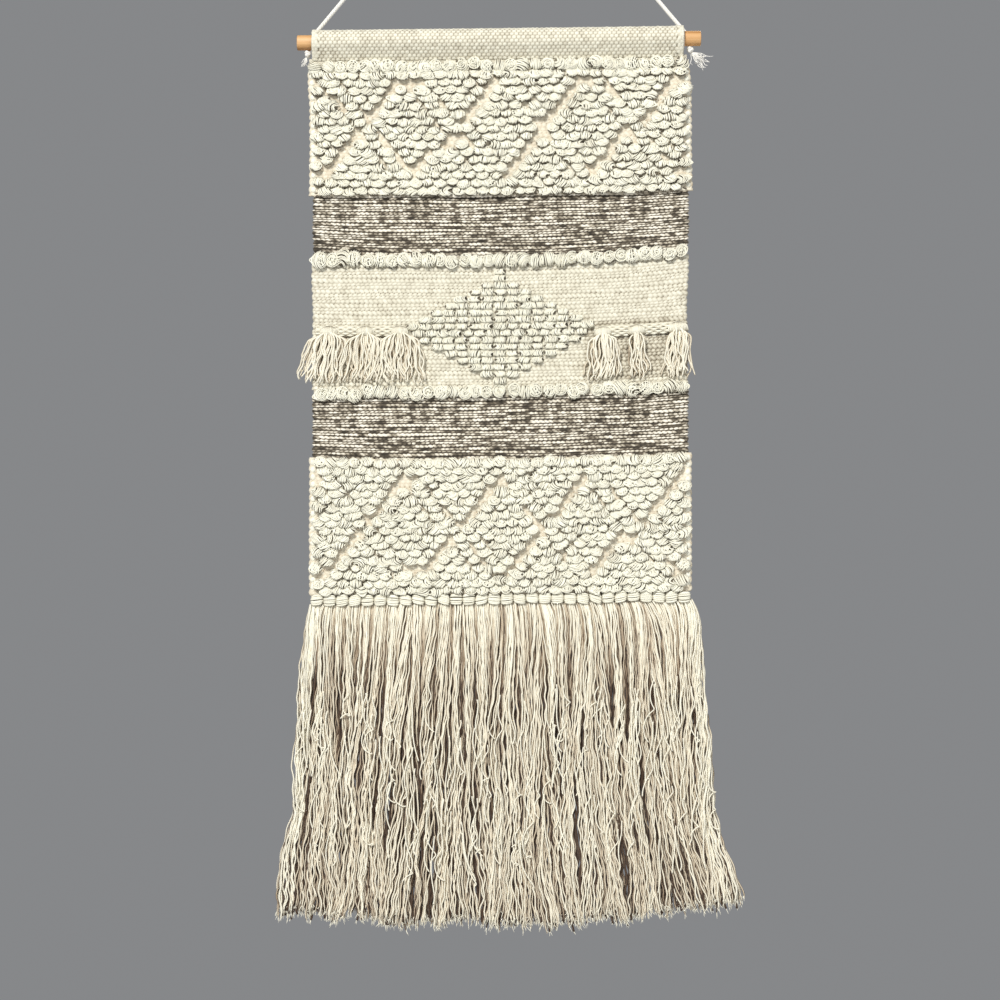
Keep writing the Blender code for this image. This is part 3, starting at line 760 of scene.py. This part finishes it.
def make_pile_panel(word, body, nodes_top, nodes_bottom):
    """The ground weave and the knotted pile, with its diamond lattice of channels between two drops."""
    top, bottom = drops(word + "_pile_ground")
    ground = woven_sheet(word + "_pile_ground_weave", HALF_PILE - 0.001, top - 0.001, bottom + 0.001, LOOSE,
                         ground_tone, GROUND_BUMP, (4, 3), lift=0.0009, edge_bump=0.0012)
    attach(ground, body)
    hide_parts(word + "_pile_ground")
    middle, tall = (nodes_top + nodes_bottom) / 2, (nodes_bottom - nodes_top) / 2
    dice = dice_for(word + "pile")
    x, drop = tuft_places(top, bottom)
    island = np.round(x / LATTICE_PITCH) * LATTICE_PITCH
    wide = LATTICE_PITCH / 2
    from_centre = np.abs(x - island) / wide + np.abs(drop - middle) / tall
    from_channel = np.abs(from_centre - 1) * wide
    in_rows = (drop > nodes_top) & (drop < nodes_bottom)
    rising = (x - island) * (drop - middle) > 0
    channel_half, grown = (np.where(rising, a, b) for a, b in zip(RISING_CHANNEL, FALLING_CHANNEL))
    bare = in_rows & (from_channel < TUFT_PITCH * channel_half)
    bare &= dice.random(len(x)) > grown
    inside = from_centre < 1
    beside = in_rows & (from_channel < TUFT_PITCH * 1.2)
    crowding = CROWDING * dice.uniform(0.6, 1.3, len(x)) * np.where(rising, BARE_CROWDING, 1.0)
    x = x + crowding * beside * np.sign(x - island) * np.where(inside, 1, -1)
    groups = {
        "pile_diamond_left": inside & (island == -LATTICE_PITCH),
        "pile_diamond_centre": inside & (island == 0),
        "pile_diamond_right": inside & (island == LATTICE_PITCH),
        "pile_side_left": inside & (island <= -2 * LATTICE_PITCH),
        "pile_side_right": inside & (island >= 2 * LATTICE_PITCH),
        "pile_top_row": ~inside & (drop < middle),
        "pile_bottom_row": ~inside & (drop >= middle),
    }
    # The tufts' cores are dark domes of painted shade, set a little lower so that they show as a shadow line
    # under each tuft's rim.
    shade_core_half = (TUFT_HALF[0] * 0.92, TUFT_HALF[1])
    for group, chosen in groups.items():
        chosen = chosen & ~bare
        n = int(chosen.sum())
        jitter = dice.normal(0, 0.0007, (2, n))
        angle = math.pi / 2 + dice.normal(0, 0.5, n)
        across, down = x[chosen] + jitter[0], drop[chosen] + jitter[1]
        curled = dice.random(n) < CURLED
        parts = [
            dome_strands(across, down, TUFT_HALF, TUFT_DEPTH, TUFT_LEAN, angle, dice),
            mounds(across, down + 0.0006, shade_core_half, TUFT_DEPTH * 0.6, TUFT_LEAN * 0.9, 0.12),
            rosette_strands(across[curled], down[curled], TUFT_HALF, TUFT_DEPTH * 1.15, TUFT_LEAN, dice),
        ]
        if group.startswith("pile_side"):
            beads = np.arange(top + 0.004, bottom - 0.003, BEAD_PITCH)
            edge = (HALF_PILE - 0.0026) * (-1 if group.endswith("left") else 1)
            parts.append(mounds(np.full(len(beads), edge), beads, BEAD_HALF, 0.0022, 0.0, 0.92))
        node = "%s_%s" % (word, group)
        add_piece(node + "_tufts", parts, CREAM, body, [node])


def backing_bar(top, bottom, half, tint):
    """The plain cloth behind a row of loops or knots, tinted deep as painted shade between them."""
    x = np.linspace(-half, half, 61)[:, None]
    turn = 2 * np.pi * (np.arange(12) + 0.5) / 12
    out, up = (np.sign(side) * np.abs(side) ** 0.5 for side in (np.cos(turn), np.sin(turn)))
    middle, depth = (CLOTH_FRONT + CLOTH_BACK) / 2, (CLOTH_BACK - CLOTH_FRONT) / 2
    tall = (bottom - top) / 2 + 0.0008
    return ringed_solid(hang(x, middle + depth * out, (top + bottom) / 2 - tall * up), tint)


# How many loops each row has.
LOOPS = 31


def make_loop_row(node, body, half, depth, rosettes, lower=0.0):
    """One row of plump loops right across the cloth: the share in rosettes curls."""
    top, bottom = drops(node)
    dice = dice_for(node)
    x = (np.arange(LOOPS) - (LOOPS - 1) / 2) * 2 * half / LOOPS + dice.normal(0, 0.0008, LOOPS)
    drop = (top + bottom) / 2 + lower + dice.normal(0, 0.0009, LOOPS)
    curled = dice.random(LOOPS) < rosettes
    size, lean = (0.0070, (bottom - top) / 2 + 0.0010), 0.0030
    angle = math.pi / 2 + dice.normal(0, 0.6, LOOPS)
    plain = ~curled
    straight = dome_strands(x[plain], drop[plain], size, depth, lean, angle[plain], dice, count=13, points=8)
    under = dome_strands(x[curled], drop[curled], size, depth * 0.75, lean, angle[curled], dice, points=8)
    curls = rosette_strands(x[curled], drop[curled], size, depth, lean, dice)
    # Painted shade: dark cores peek out under the loops' rims, and the cloth behind the loops is given a deep
    # tint.
    cores = mounds(x, drop + 0.0004, size, depth * 0.6, lean * 0.9, 0.08)
    return add_piece(node + "_yarns", [straight, under, curls, cores, backing_bar(top, bottom, half, 0.45)],
                     CREAM, body, [node])


def make_knot_row():
    """One wrapped knot over each fringe bundle: yarns side by side across it that dive in at its sides."""
    node = "fringe_knot_row"
    top, bottom = drops(node)
    dice = dice_for(node)
    wraps, half, depth = 6, 0.0058, 0.0046
    x = ((np.arange(BUNDLES) - (BUNDLES - 1) / 2) * 2 * HALF_PILE / BUNDLES)[:, None, None]
    s = np.linspace(-1, 1, 11)
    level = ((np.arange(wraps) - (wraps - 1) / 2) / wraps * (bottom - top + 0.0006))[:, None]
    round_off = 1 - 0.12 * (level / level.max()) ** 2
    slant = dice.normal(0, 0.0012, (BUNDLES, 1, 1))
    across = x + half * round_off * np.sin(s * math.pi / 2)
    out = depth * round_off * np.sqrt(np.clip(1 - (0.98 * s) ** 2, 0, 1))
    drop = (top + bottom) / 2 + level * (1 - 0.25 * s ** 2) + slant * s
    drop = drop + dice.normal(0, 0.0003, (BUNDLES, wraps, 1)) + dice.normal(0, 0.0004, (BUNDLES, 1, 1))
    # Painted shade: each wrap darkens towards its ends, where it dives into the cloth.
    tint = 0.92 + dice.normal(0, 0.05, (BUNDLES, wraps, 1)) - 0.75 * s ** 6
    front = tubes(hang(across, CLOTH_FRONT + 0.0006 - out, drop), 0.00098, 6, tint, 0.25)
    behind = tubes(hang(across, CLOTH_BACK - 0.0004 + 0.35 * out, drop), 0.00095, 5)
    # The dark cloth behind the knots is painted shade.
    return add_piece(node + "_wraps", [front, behind, backing_bar(top, bottom, HALF_PILE - 0.002, 0.15)],
                     CREAM, "lower_tapestry", [node])


# ---- centre panel and tassels


def make_centre_panel():
    panel = woven_sheet("centre_panel_weave", HALF_CENTRE - 0.0012, CENTRE_TOP - 0.003,
                        LOWER_LOOPS_TOP + 0.003, CREAM, panel_tone, CREAM_BUMP, (5, 4),
                        lift=0.0014, edge_bump=0.0012, fat=(0.58, 0.60))
    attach(panel, "centre_tapestry")
    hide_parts("centre_panel")
    return panel


def make_centre_diamond():
    """Short boxy tufts in straight rows that grow wider and narrower again, a diamond."""
    node = "centre_diamond_pile"
    low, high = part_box(node)
    dice = dice_for(node)
    middle = -(low.z + high.z) / 2
    counts = (1, 1, 3, 5, 7, 9, 11, 13, 15, 14, 13, 11, 9, 7, 5, 3, 1)
    pitch_x, pitch_z = 0.01255, (high.z - low.z) / len(counts)
    places = [
        ((i - (n - 1) / 2) * pitch_x, middle + (row - (len(counts) - 1) / 2) * pitch_z)
        for row, n in enumerate(counts) for i in range(n)
    ]
    x, drop = np.array(places).T
    angle = math.pi / 2 + dice.normal(0, 0.18, len(x))
    x = x + dice.normal(0, 0.0004, len(x))
    tufts = dome_strands(x, drop, (0.0057, 0.0036), 0.0028, 0.0024, angle, dice, count=11,
                         boxy=3.2, flank=0.12, shade=0.90)
    # The cores are dark domes of painted shade that show as dark lines under the rows of tufts.
    cores = mounds(x, drop + 0.0002, (0.0064, 0.0041), 0.0016, 0.0020, 0.05)
    return add_piece(node + "_tufts", [tufts, cores], CREAM, "centre_tapestry", [node])


# How many strands each tassel's skirt has, its half width at the tips, and how far the tips sweep sideways.
SKIRTS = {
    "tassel_left_outer": (52, 0.0200, -0.0075),
    "tassel_left_middle": (46, 0.0175, -0.0020),
    "tassel_left_inner": (52, 0.0205, 0.0010),
    "tassel_right_inner": (32, 0.0145, 0.0000),
    "tassel_right_middle": (20, 0.0084, 0.0010),
    "tassel_right_outer": (32, 0.0120, -0.0010),
}
# The locks that a skirt's strands wave with, and the radius of a strand at its top.
TASSEL_LOCKS, SKIRT_YARN = 6, 0.00090
# How many ribs lie side by side in a head, how far it bulges, and its half height.
HEAD_RIBS, HEAD_DEPTH, HEAD_HALF = 13, 0.0066, 0.0050
# How far the pull of the cloth lowers each bar and its tassels.
LOWERED = {"left": 0.0, "right": 0.0042}


def make_float_bar(word):
    """The roll of weft that floats across the front and carries the tassels' heads."""
    node = "float_bar_" + word
    low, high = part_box(node)
    dice = dice_for(node)
    yarns, roll_height, roll_depth, twist = 7, 0.0050, 0.0028, 0.0092
    x = np.linspace(low.x, high.x, 90)
    middle = sum(drops(node)) / 2 + 0.0003 + LOWERED[word]
    turn = np.linspace(-0.42, 0.42, yarns)[:, None] * math.pi
    lump = np.sin(2 * np.pi * x / twist + math.pi * np.arange(yarns)[:, None])
    drop = middle + roll_height * np.sin(turn) + 0.0003 * lump
    y = CLOTH_FRONT + 0.0002 - roll_depth * np.cos(turn)
    # Painted shade: each yarn is paler on its lumps and deeper between them.
    tint = 0.70 + dice.normal(0, 0.03, (yarns, 1)) + 0.20 * lump
    # The lowest yarn lies in the roll's own shade.
    tint[-1] = 0.12
    roll = tubes(hang(x, y, drop), 0.00125 * (1 + 0.18 * lump), 6, tint, 0.25)
    return add_piece(node + "_roll", [roll], CREAM, "centre_tapestry", [node])


def make_tassel(name):
    """A satin head that folds over the float, and a bell of crossing yarns that hangs from it."""
    dice = dice_for(name)
    low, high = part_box(name + "_head")
    middle = (low.x + high.x) / 2
    top = TILT * middle - (low.z + high.z) / 2 + LOWERED["left" if middle < 0 else "right"]
    head = (high.x - low.x) / 2 + 0.0015
    count, tips, sweep = SKIRTS[name]
    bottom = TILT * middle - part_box(name + "_skirt")[0].z
    t = np.linspace(0, 1, 24)
    q = np.linspace(-1, 1, count)[:, None] + dice.normal(0, 0.06, (count, 1))
    # A strand with layer 1 lies in front, and one with 0 against the cloth.
    layer = dice.random((count, 1))
    bell = np.interp(t, [0.0, 0.06, 0.16, 0.35, 0.8, 1.0], [0.34, 0.62, 0.88, 1.0, 1.0, 0.95])
    cross = dice.normal(0, 0.0042, (count, 1)) * t ** 1.3
    locks = dice.integers(0, TASSEL_LOCKS, count)
    wave = 0.0011 * ripple(t, 2.4, dice, count) + 0.0026 * ripple(t, 1.0, dice, TASSEL_LOCKS)[locks]
    neck = head * 0.25
    x = middle + q * (neck + (tips - neck) * bell) + sweep * t ** 1.6 + cross + t ** 0.7 * wave
    length = (bottom - top - 0.001) * dice.uniform(0.86, 1.05, (count, 1))
    shoulder = 0.0050 * q ** 2 * np.exp(-t / 0.12)
    drop = top + 0.0010 + shoulder + length * t
    reach = 0.0026 + 0.0060 * layer + 0.0022 * np.sin(np.pi * np.clip(t * 1.5, 0, 1))
    y = CLOTH_FRONT - reach * (1 - 0.30 * t)
    # Painted shade: strands that lie back against the cloth are darker; each strand also has a tone of its
    # own.
    tint = 1.08 - 0.60 * np.clip(0.75 - layer, 0, 1) + dice.normal(0, 0.05, (count, 1))
    skirt = tubes(hang(x, y, drop), SKIRT_YARN * (1 - 0.25 * t ** 6), 5, tint, 0.55)
    add_piece(name + "_skirt_strands", [skirt], LOOSE, name, [name + "_skirt"])
    s = np.linspace(-1, 1, 14)
    q = np.linspace(-0.97, 0.97, HEAD_RIBS)[:, None]
    fan = np.interp(s, [-1, -0.3, 0.5, 1], [0.72, 0.96, 1.04, 1.10])
    hump = np.sqrt(np.clip(1 - (0.97 * q) ** 2, 0, 1)) * np.sqrt(np.clip(1 - (0.97 * s) ** 2, 0, 1))
    y = CLOTH_FRONT - 0.0020 - HEAD_DEPTH * hump
    drop = top + 0.0008 + HEAD_HALF * s - 0.0018 * q ** 2 * (s + 1) / 2 + 0.0014 * q ** 2 * (1 - s) / 2
    # Painted shade: the ribs darken towards their top and bottom ends, where they fold in.
    tint = 0.84 + dice.normal(0, 0.06, (HEAD_RIBS, 1)) - 0.35 * s ** 6
    dome = tubes(hang(middle + head * q * fan, y, drop), 0.00100, 6, tint, 0.50)
    add_piece(name + "_head_wrap", [dome], CREAM, name, [name + "_head"])


# ---- the fringe

# A bundle's strands: the first ones are deep, and fill the gaps behind the others with dark painted shade.
STRANDS, DEEP_STRANDS, LOCKS = 50, 12, 4
# Yarn radii: the fringe's at the knot, near its end and at its tip, the deep strands' and the loose curls'.
FRINGE_YARN, DEEP_YARN, CURL_YARN = (0.00084, 0.00082, 0.00048), 0.00110, 0.00062
# How far the deep strands spread to each side, in bundles, and how far they may at the fringe's own edges.
GAP_SPREAD, GAP_LIMIT, GAP_EDGE = 0.62, 0.56, 0.1


def fringe_edge(share, side):
    """x of the fringe's edge, share of the way down: it bulges under the knots, then fans out."""
    bulge, settled, fan, power = (0.0055, 0.08, 0.0255, 1.3) if side < 0 else (0.0115, 0.05, 0.0350, 2.2)
    return side * (HALF_PILE + 0.001 + bulge * (1 - np.exp(-share / settled)) + fan * share ** power)


def bundle_strands(index, dice):
    """One knot's yarns: a tight round bundle that opens into wavy locks and frays at its end."""
    t = np.linspace(0, 1, 96)
    middle = (index + 0.5) / BUNDLES
    inner = 0 < index < BUNDLES - 1
    left, right = fringe_edge(t, -1), fringe_edge(t, 1)
    pitch = (right - left) / BUNDLES
    centre = left + middle * (right - left)
    centre = centre + t ** 0.6 * (0.0026 * ripple(t, 1.3, dice, 1) + 0.0012 * ripple(t, 3.0, dice, 1))
    lock = dice.integers(0, LOCKS, STRANDS)
    opening = np.interp(t, [0, 0.12, 0.4, 1.0], [0.15, 0.20, 0.55, 1.0])
    lock_place = (lock / (LOCKS - 1) * 2 - 1)[:, None] * 0.40 * opening * pitch
    lock_wave = 0.0012 * ripple(t, 2.2, dice, LOCKS) + 0.0006 * ripple(t, 6.0, dice, LOCKS)
    lock_wave = (lock_wave + 0.0006 * ripple(t, 12.0, dice, LOCKS))[lock]
    full = pitch * np.interp(t, [0, 0.03, 0.10, 0.4, 1.0], [0.48, 0.52, 0.50, 0.38, 0.23])
    full = full * dice.uniform(0.82, 1.20)
    turn = dice.uniform(0, 2 * np.pi, (STRANDS, 1))
    turn = turn + t * (dice.normal(0, 1.6, (STRANDS, 1)) + dice.normal(0, 4.5))
    rim = np.sqrt(dice.uniform(0.2, 1.0, (STRANDS, 1)))
    deep = np.arange(STRANDS)[:, None] < DEEP_STRANDS
    aside, forward = rim * np.sin(turn), rim * np.cos(turn) * np.where(deep, 0.25, 1.0)
    gap = GAP_SPREAD * (2 * np.arange(STRANDS)[:, None] / (STRANDS - 1) * STRANDS / DEEP_STRANDS - 1)
    gap = gap + dice.normal(0, 0.03, (STRANDS, 1))
    limits = [GAP_LIMIT if free else GAP_EDGE for free in (index > 0, index < BUNDLES - 1)]
    gap = np.clip(gap, -limits[0], limits[1])
    spread = np.where(deep, gap * pitch, lock_place + aside * full)
    mixing = dice.normal(0, 0.0017, (STRANDS, 1)) * t ** 1.5
    own_wave = 0.00030 * (1 + t) * ripple(t, 15.0, dice, STRANDS)
    own_wave = own_wave + 0.0016 * t * ripple(t, 1.6, dice, STRANDS)
    x = centre + spread + lock_wave * t ** 0.35 + mixing + own_wave
    # The fringe is shorter towards its sides.
    edge = np.clip(np.abs(middle - 0.47) * 2 - 0.45, 0, 1)
    end = FRINGE_END - 0.008 - 0.030 * edge + dice.normal(0, 0.0028) + dice.normal(0, 0.0035, (STRANDS, 1))
    drop = FRINGE_TOP - 0.0015 + (np.minimum(end, FRINGE_END + 0.005) - FRINGE_TOP) * t
    thick = np.interp(t, [0, 0.06, 0.4, 1.0], [0.0036, 0.0052, 0.0060, 0.0056])
    y = DOWEL_Y - forward * thick + (lock % 2 - 0.5)[:, None] * 0.0024 * opening
    # Painted shade: strands on a bundle's sides and middle are darker than those that face the front or the
    # back, most of all in the inner bundles, the back half is a little darker, and the deep strands grow near
    # black below the knot. All are paler near the knot, and each strand and bundle has a tone of its own.
    tint = (0.22 if inner else 0.60) + 0.40 * np.exp(-t / 0.10)
    tint = tint + 0.86 * np.abs(forward) ** 0.8 - 0.20 * (forward < 0)
    tint = tint + dice.normal(0, 0.08, (STRANDS, 1)) + dice.normal(0, 0.03)
    gap_shade_tint = np.interp(t, [0, 0.10, 0.30, 1.0], [0.55, 0.36, 0.04, 0.0])
    tint = np.where(deep, gap_shade_tint + dice.uniform(0, 0.08, (STRANDS, 1)), tint)
    radii = np.interp(t, [0, 0.985, 1.0], FRINGE_YARN) * dice.uniform(0.85, 1.1, (STRANDS, 1))
    return hang(x, y, drop), np.where(deep, DEEP_YARN, radii), tint


def frayed_tips(strands, dice):
    """Two fine fibres that splay from the end of each strand."""
    tip, before = strands[:, -1], strands[:, -3]
    forward = tip - before
    forward /= np.linalg.norm(forward, axis=1, keepdims=True)
    t = np.linspace(0, 1, 4)[None, :, None]
    paths = []
    for _ in range(2):
        aim = forward * 0.0045 + dice.normal(0, 0.0014, tip.shape)
        aim[:, 1] *= 0.5
        paths.append(tip[:, None] - forward[:, None] * 0.002 + aim[:, None] * t)
    return tubes(np.concatenate(paths), np.array([0.00036, 0.00032, 0.00026, 0.00018]), 4, 0.95)


def stray_curls(strands, dice):
    """Single yarns that work loose in front of a bundle and curl across it."""
    count = 7
    t = np.linspace(0, 1, 56)
    chosen = dice.integers(0, len(strands), count)
    start = strands[chosen, dice.integers(24, 74, count)]
    length = dice.uniform(0.022, 0.075, (count, 1))
    swing = dice.normal(0, 0.0045, (count, 1))
    curl = dice.uniform(0.0015, 0.0060, (count, 1)) * t ** 0.7
    turn = 2 * np.pi * dice.uniform(0.6, 1.7, (count, 1)) * t + dice.uniform(0, 2 * np.pi, (count, 1))
    x = start[:, :1] + swing * t + curl * np.cos(turn)
    z = start[:, 2:] - length * t + curl * np.sin(turn)
    z = np.maximum(z, -FRINGE_END - 0.002)
    y = DOWEL_Y - 0.0072 - 0.0012 * np.sin(turn / 2)
    return tubes(np.stack([x, y, z], axis=-1), CURL_YARN, 5, 0.98, 0.20)


def make_fringe():
    for section in range(BUNDLES // BUNDLES_PER_SECTION):
        node = "fringe_section_%d" % (section + 1)
        for place in range(BUNDLES_PER_SECTION):
            name = "%s_bundle_%d" % (node, place + 1)
            dice = dice_for(name)
            paths, radii, tint = bundle_strands(section * BUNDLES_PER_SECTION + place, dice)
            parts = [tubes(paths, radii, 4, tint, 0.62), frayed_tips(paths, dice), stray_curls(paths, dice)]
            piece = add_piece(name, parts, LOOSE, None, [node])
            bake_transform(piece)


# ---- bands


def make_band(word, top, bottom):
    """A streaky band as one cloth across its fold."""
    piece = woven_sheet(word + "_band_weave", HALF_BAND - 0.0012, top - 0.003, bottom + 0.003,
                        MELANGE, melange_tone, BAND_BUMP, (4, 5), lift=0.0010,
                        edge_bump=0.0016, fat=(0.62, 0.50))
    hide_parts(word + "_band_above_fold", word + "_band_below_fold")
    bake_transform(piece)


# ---- stage


def add_area(name, place, aim, size, power, colour=(1.0, 1.0, 1.0)):
    data = bpy.data.lights.new(name, "AREA")
    data.size, data.energy, data.color = size, power, colour
    light = bpy.data.objects.new(name, data)
    light.location = place
    light.rotation_mode = "QUATERNION"
    light.rotation_quaternion = (Vector(aim) - Vector(place)).to_track_quat("-Z", "Y")
    bpy.context.scene.collection.objects.link(light)


def make_stage():
    """A small pale floor, soft light from the upper left, and the camera square on to the hanging."""
    scene = bpy.context.scene
    world = bpy.data.worlds.new("studio")
    world.use_nodes = True
    world.node_tree.nodes["Background"].inputs["Color"].default_value = (0.24, 0.245, 0.253, 1.0)
    world.node_tree.nodes["Background"].inputs["Strength"].default_value = 1.0
    scene.world = world
    scene.view_settings.view_transform = "Standard"
    middle = (0.0, 0.0, -0.68)
    add_area("key", (-1.6, -4.5, 2.6), middle, 1.2, 338.0, (1.0, 0.99, 0.97))
    add_area("fill", (1.3, -2.4, -1.0), (0.0, 0.0, -1.0), 1.4, 16.0)
    add_area("behind", (0.9, 1.7, 0.3), middle, 1.5, 22.0)
    mesh = bpy.data.meshes.new("floor")
    half, floor_z = 0.9, -1.25
    mesh.from_pydata(
        [(-half, -1.1, floor_z), (half, -1.1, floor_z), (half, 0.16, floor_z), (-half, 0.16, floor_z)],
        [], [(0, 1, 2, 3)],
    )
    nodes = Nodes("pale_floor", 0.8)
    speckle = nodes.noise(nodes.place(), 60.0, 3.0)
    nodes.link(nodes.ramp(speckle, [(0.3, (0.60, 0.60, 0.59)), (0.7, (0.66, 0.66, 0.65))]), "Base Color")
    mesh.materials.append(nodes.material)
    floor = bpy.data.objects.new("floor", mesh)
    scene.collection.objects.link(floor)
    distance, plane_y = 2.2, -0.022
    data = bpy.data.cameras.new("camera")
    data.sensor_width = 36.0
    data.lens = data.sensor_width * distance / 1.0
    camera = bpy.data.objects.new("camera", data)
    camera.location = (0.001, plane_y - distance, -0.699)
    camera.rotation_euler = (math.pi / 2, 0.0, 0.0)
    scene.collection.objects.link(camera)
    scene.camera = camera


def main():
    make_stage()
    make_cords()
    frame["nodes"]["dowel"].data.materials.clear()
    frame["nodes"]["dowel"].data.materials.append(PINE)
    make_pocket()
    make_loop_row("top_loop_row", "upper_tapestry", HALF_PILE - 0.001, 0.0040, 0.8, 0.0012)
    make_pile_panel("upper", "upper_tapestry", UPPER_PILE_TOP + 0.004, UPPER_BAND_TOP - 0.016)
    make_band("upper", UPPER_BAND_TOP, UPPER_LOOPS_TOP)
    upper_loops = make_loop_row("upper_loop_row", "centre_tapestry", HALF_BAND, 0.0042, 0.85)
    panel = make_centre_panel()
    diamond = make_centre_diamond()
    bars = [make_float_bar(word) for word in ("left", "right")]
    for name in sorted(SKIRTS):
        make_tassel(name)
    lower_loops = make_loop_row("lower_loop_row", "centre_tapestry", HALF_BAND, 0.0042, 0.8)
    make_band("lower", LOWER_BAND_TOP, LOWER_PILE_TOP)
    make_pile_panel("lower", "lower_tapestry", LOWER_PILE_TOP + 0.018, KNOTS_TOP - 0.014)
    make_knot_row()
    make_fringe()


main()

bpy.context.view_layer.update()
